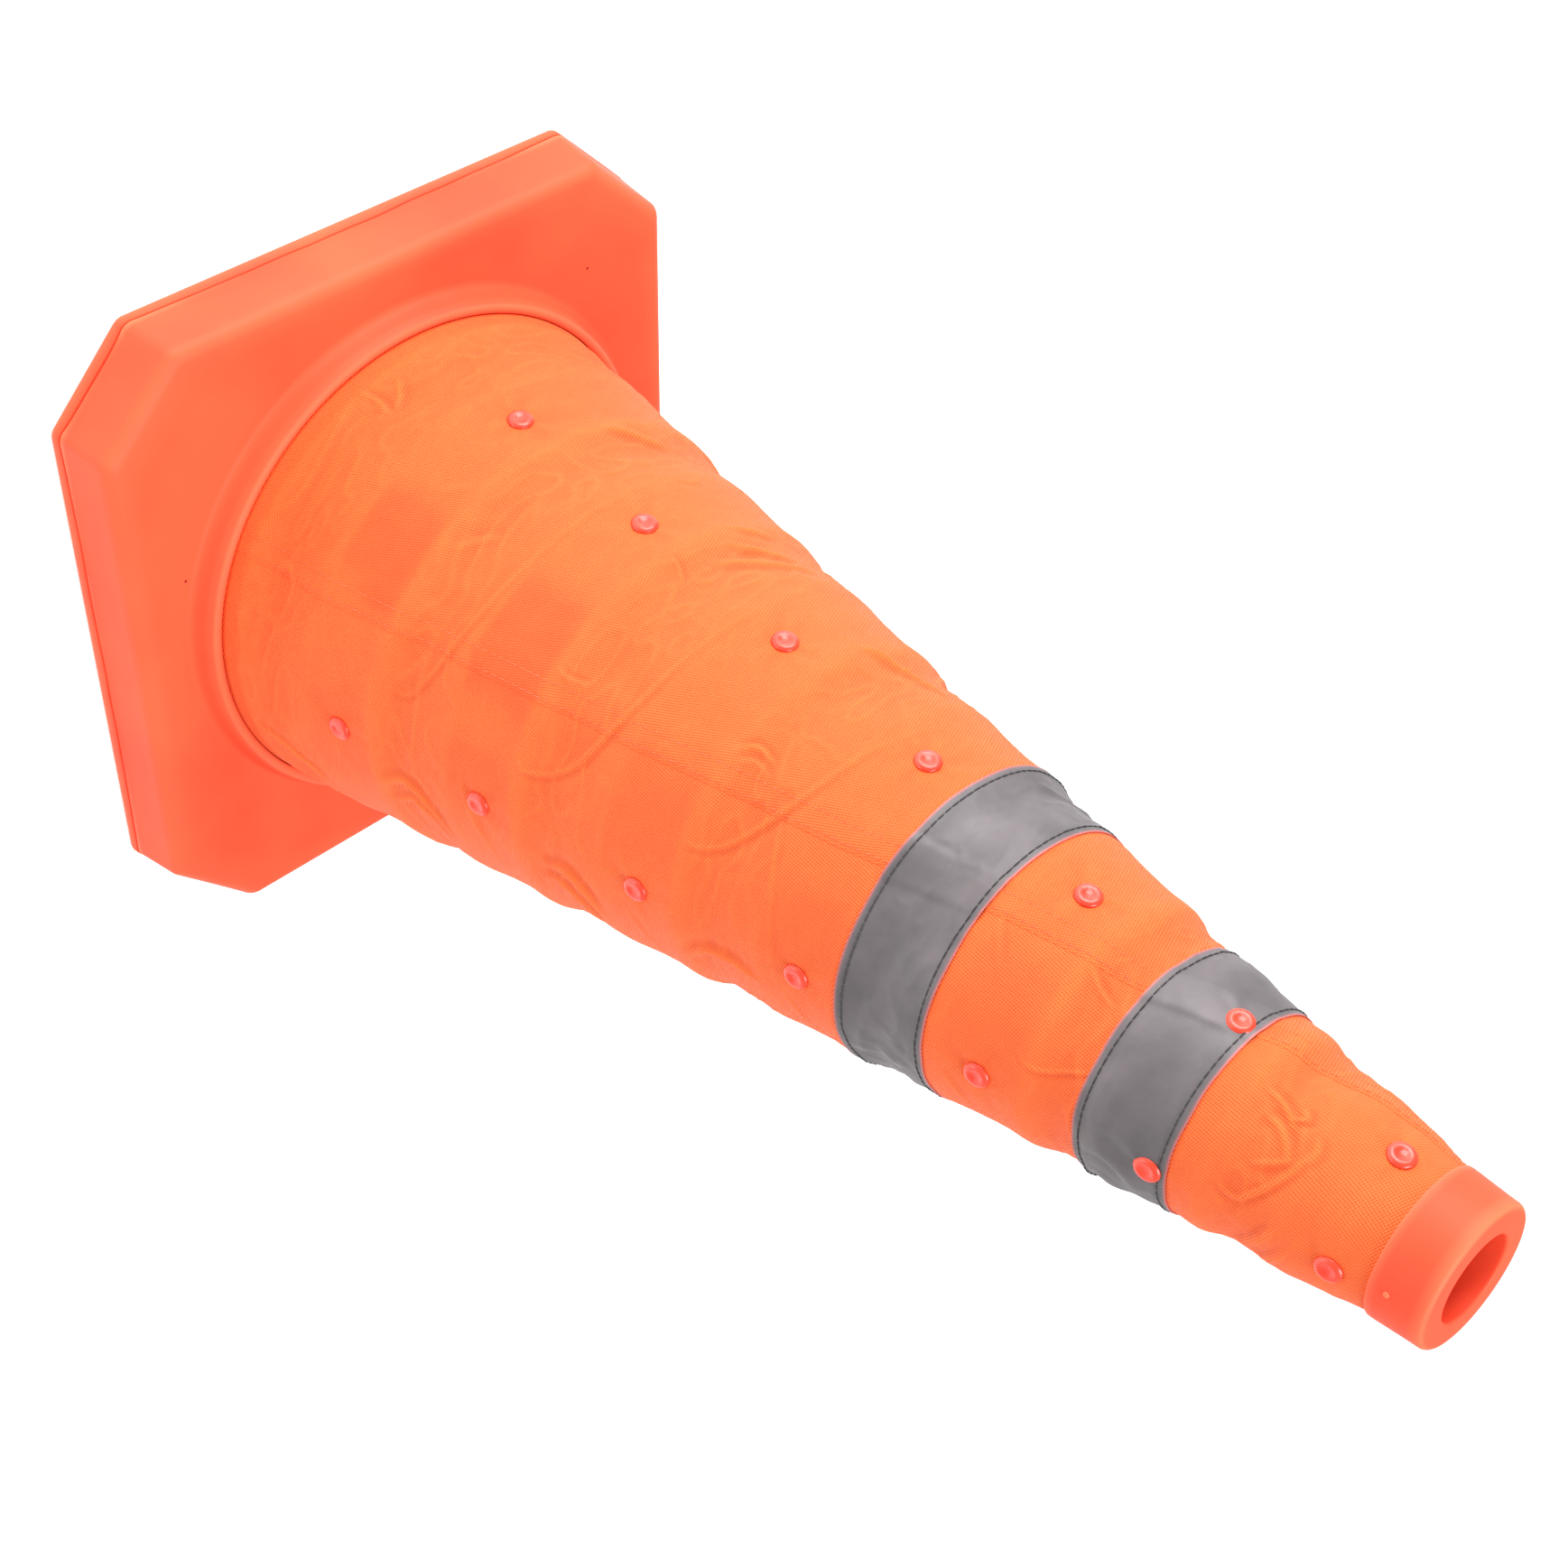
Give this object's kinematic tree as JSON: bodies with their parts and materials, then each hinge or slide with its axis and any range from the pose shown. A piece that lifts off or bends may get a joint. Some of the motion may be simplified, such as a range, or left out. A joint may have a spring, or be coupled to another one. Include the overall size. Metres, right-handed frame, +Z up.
{
  "type": "collapsible traffic cone",
  "caption": "Collapsible traffic cone: square two-part base, cloth sleeve riveted to nesting hoops, reflective bands and a bored top cap.",
  "frame": {"origin": "middle of the base's underside, on the surface the cone stands on", "axes": "+Z up along the cone's axis; X and Y parallel to the base's sides, through the rows of rivets"},
  "size_m": [0.23, 0.23, 0.458],
  "materials": {
    "base_plastic": "semi-matte moulded",
    "cap_plastic": "semi-matte moulded",
    "hoop_plastic": "semi-matte moulded",
    "rivet_plastic": "glossy, slightly translucent",
    "sleeve_cloth": "coated oxford weave",
    "reflective_tape": "retroreflective cloth tape",
    "screw_steel": "zinc plated"
  },
  "bodies": {
    "base": {"base_cover": "base_plastic", "base_plate": "base_plastic", "plate_screw_1": "screw_steel", "plate_screw_2": "screw_steel", "plate_screw_3": "screw_steel", "plate_screw_4": "screw_steel", "sleeve_clamp_ring": "base_plastic", "sleeve_1": "sleeve_cloth"},
    "hoop_1": {"hoop_1": "hoop_plastic", "rivet_1_a": "rivet_plastic", "rivet_1_b": "rivet_plastic", "rivet_1_c": "rivet_plastic", "rivet_1_d": "rivet_plastic", "sleeve_2": "sleeve_cloth"},
    "hoop_2": {"hoop_2": "hoop_plastic", "rivet_2_a": "rivet_plastic", "rivet_2_b": "rivet_plastic", "rivet_2_c": "rivet_plastic", "rivet_2_d": "rivet_plastic", "sleeve_3": "sleeve_cloth"},
    "hoop_3": {"hoop_3": "hoop_plastic", "rivet_3_a": "rivet_plastic", "rivet_3_b": "rivet_plastic", "rivet_3_c": "rivet_plastic", "rivet_3_d": "rivet_plastic", "sleeve_4": "sleeve_cloth"},
    "hoop_4": {"hoop_4": "hoop_plastic", "rivet_4_a": "rivet_plastic", "rivet_4_b": "rivet_plastic", "rivet_4_c": "rivet_plastic", "rivet_4_d": "rivet_plastic", "sleeve_5": "sleeve_cloth", "band_1": "reflective_tape"},
    "hoop_5": {"hoop_5": "hoop_plastic", "rivet_5_a": "rivet_plastic", "rivet_5_b": "rivet_plastic", "rivet_5_c": "rivet_plastic", "rivet_5_d": "rivet_plastic", "sleeve_6": "sleeve_cloth", "band_2_lower": "reflective_tape"},
    "hoop_6": {"hoop_6": "hoop_plastic", "rivet_6_a": "rivet_plastic", "rivet_6_b": "rivet_plastic", "rivet_6_c": "rivet_plastic", "rivet_6_d": "rivet_plastic", "sleeve_7": "sleeve_cloth", "band_2_upper": "reflective_tape"},
    "cap": {"top_cap": "cap_plastic", "rivet_7_a": "rivet_plastic", "rivet_7_b": "rivet_plastic", "rivet_7_c": "rivet_plastic", "rivet_7_d": "rivet_plastic"}
  },
  "joints": [
    {"name": "hoop_1_slide", "type": "slide", "parent": "base", "child": "hoop_1", "axis": [0, 0, -1], "range_m": [0, 0.0661], "deforming": ["sleeve_1"]},
    {"name": "hoop_2_slide", "type": "slide", "parent": "hoop_1", "child": "hoop_2", "axis": [0, 0, -1], "range_m": [0, 0.0556], "deforming": ["sleeve_2"]},
    {"name": "hoop_3_slide", "type": "slide", "parent": "hoop_2", "child": "hoop_3", "axis": [0, 0, -1], "range_m": [0, 0.0594], "deforming": ["sleeve_3"]},
    {"name": "hoop_4_slide", "type": "slide", "parent": "hoop_3", "child": "hoop_4", "axis": [0, 0, -1], "range_m": [0, 0.0567], "deforming": ["sleeve_4"]},
    {"name": "hoop_5_slide", "type": "slide", "parent": "hoop_4", "child": "hoop_5", "axis": [0, 0, -1], "range_m": [0, 0.0597], "deforming": ["sleeve_5", "band_1"]},
    {"name": "hoop_6_slide", "type": "slide", "parent": "hoop_5", "child": "hoop_6", "axis": [0, 0, -1], "range_m": [0, 0.0528], "deforming": ["sleeve_6", "band_2_lower"]},
    {"name": "cap_slide", "type": "slide", "parent": "hoop_6", "child": "cap", "axis": [0, 0, -1], "range_m": [0, 0.0525], "deforming": ["sleeve_7"]}
  ],
  "couplings": [
    {"joint": "hoop_2_slide", "follows": "hoop_1_slide", "ratio": 0.84115},
    {"joint": "hoop_3_slide", "follows": "hoop_1_slide", "ratio": 0.89864},
    {"joint": "hoop_4_slide", "follows": "hoop_1_slide", "ratio": 0.85779},
    {"joint": "hoop_5_slide", "follows": "hoop_1_slide", "ratio": 0.90318},
    {"joint": "hoop_6_slide", "follows": "hoop_1_slide", "ratio": 0.79879},
    {"joint": "cap_slide", "follows": "hoop_1_slide", "ratio": 0.79425}
  ]
}
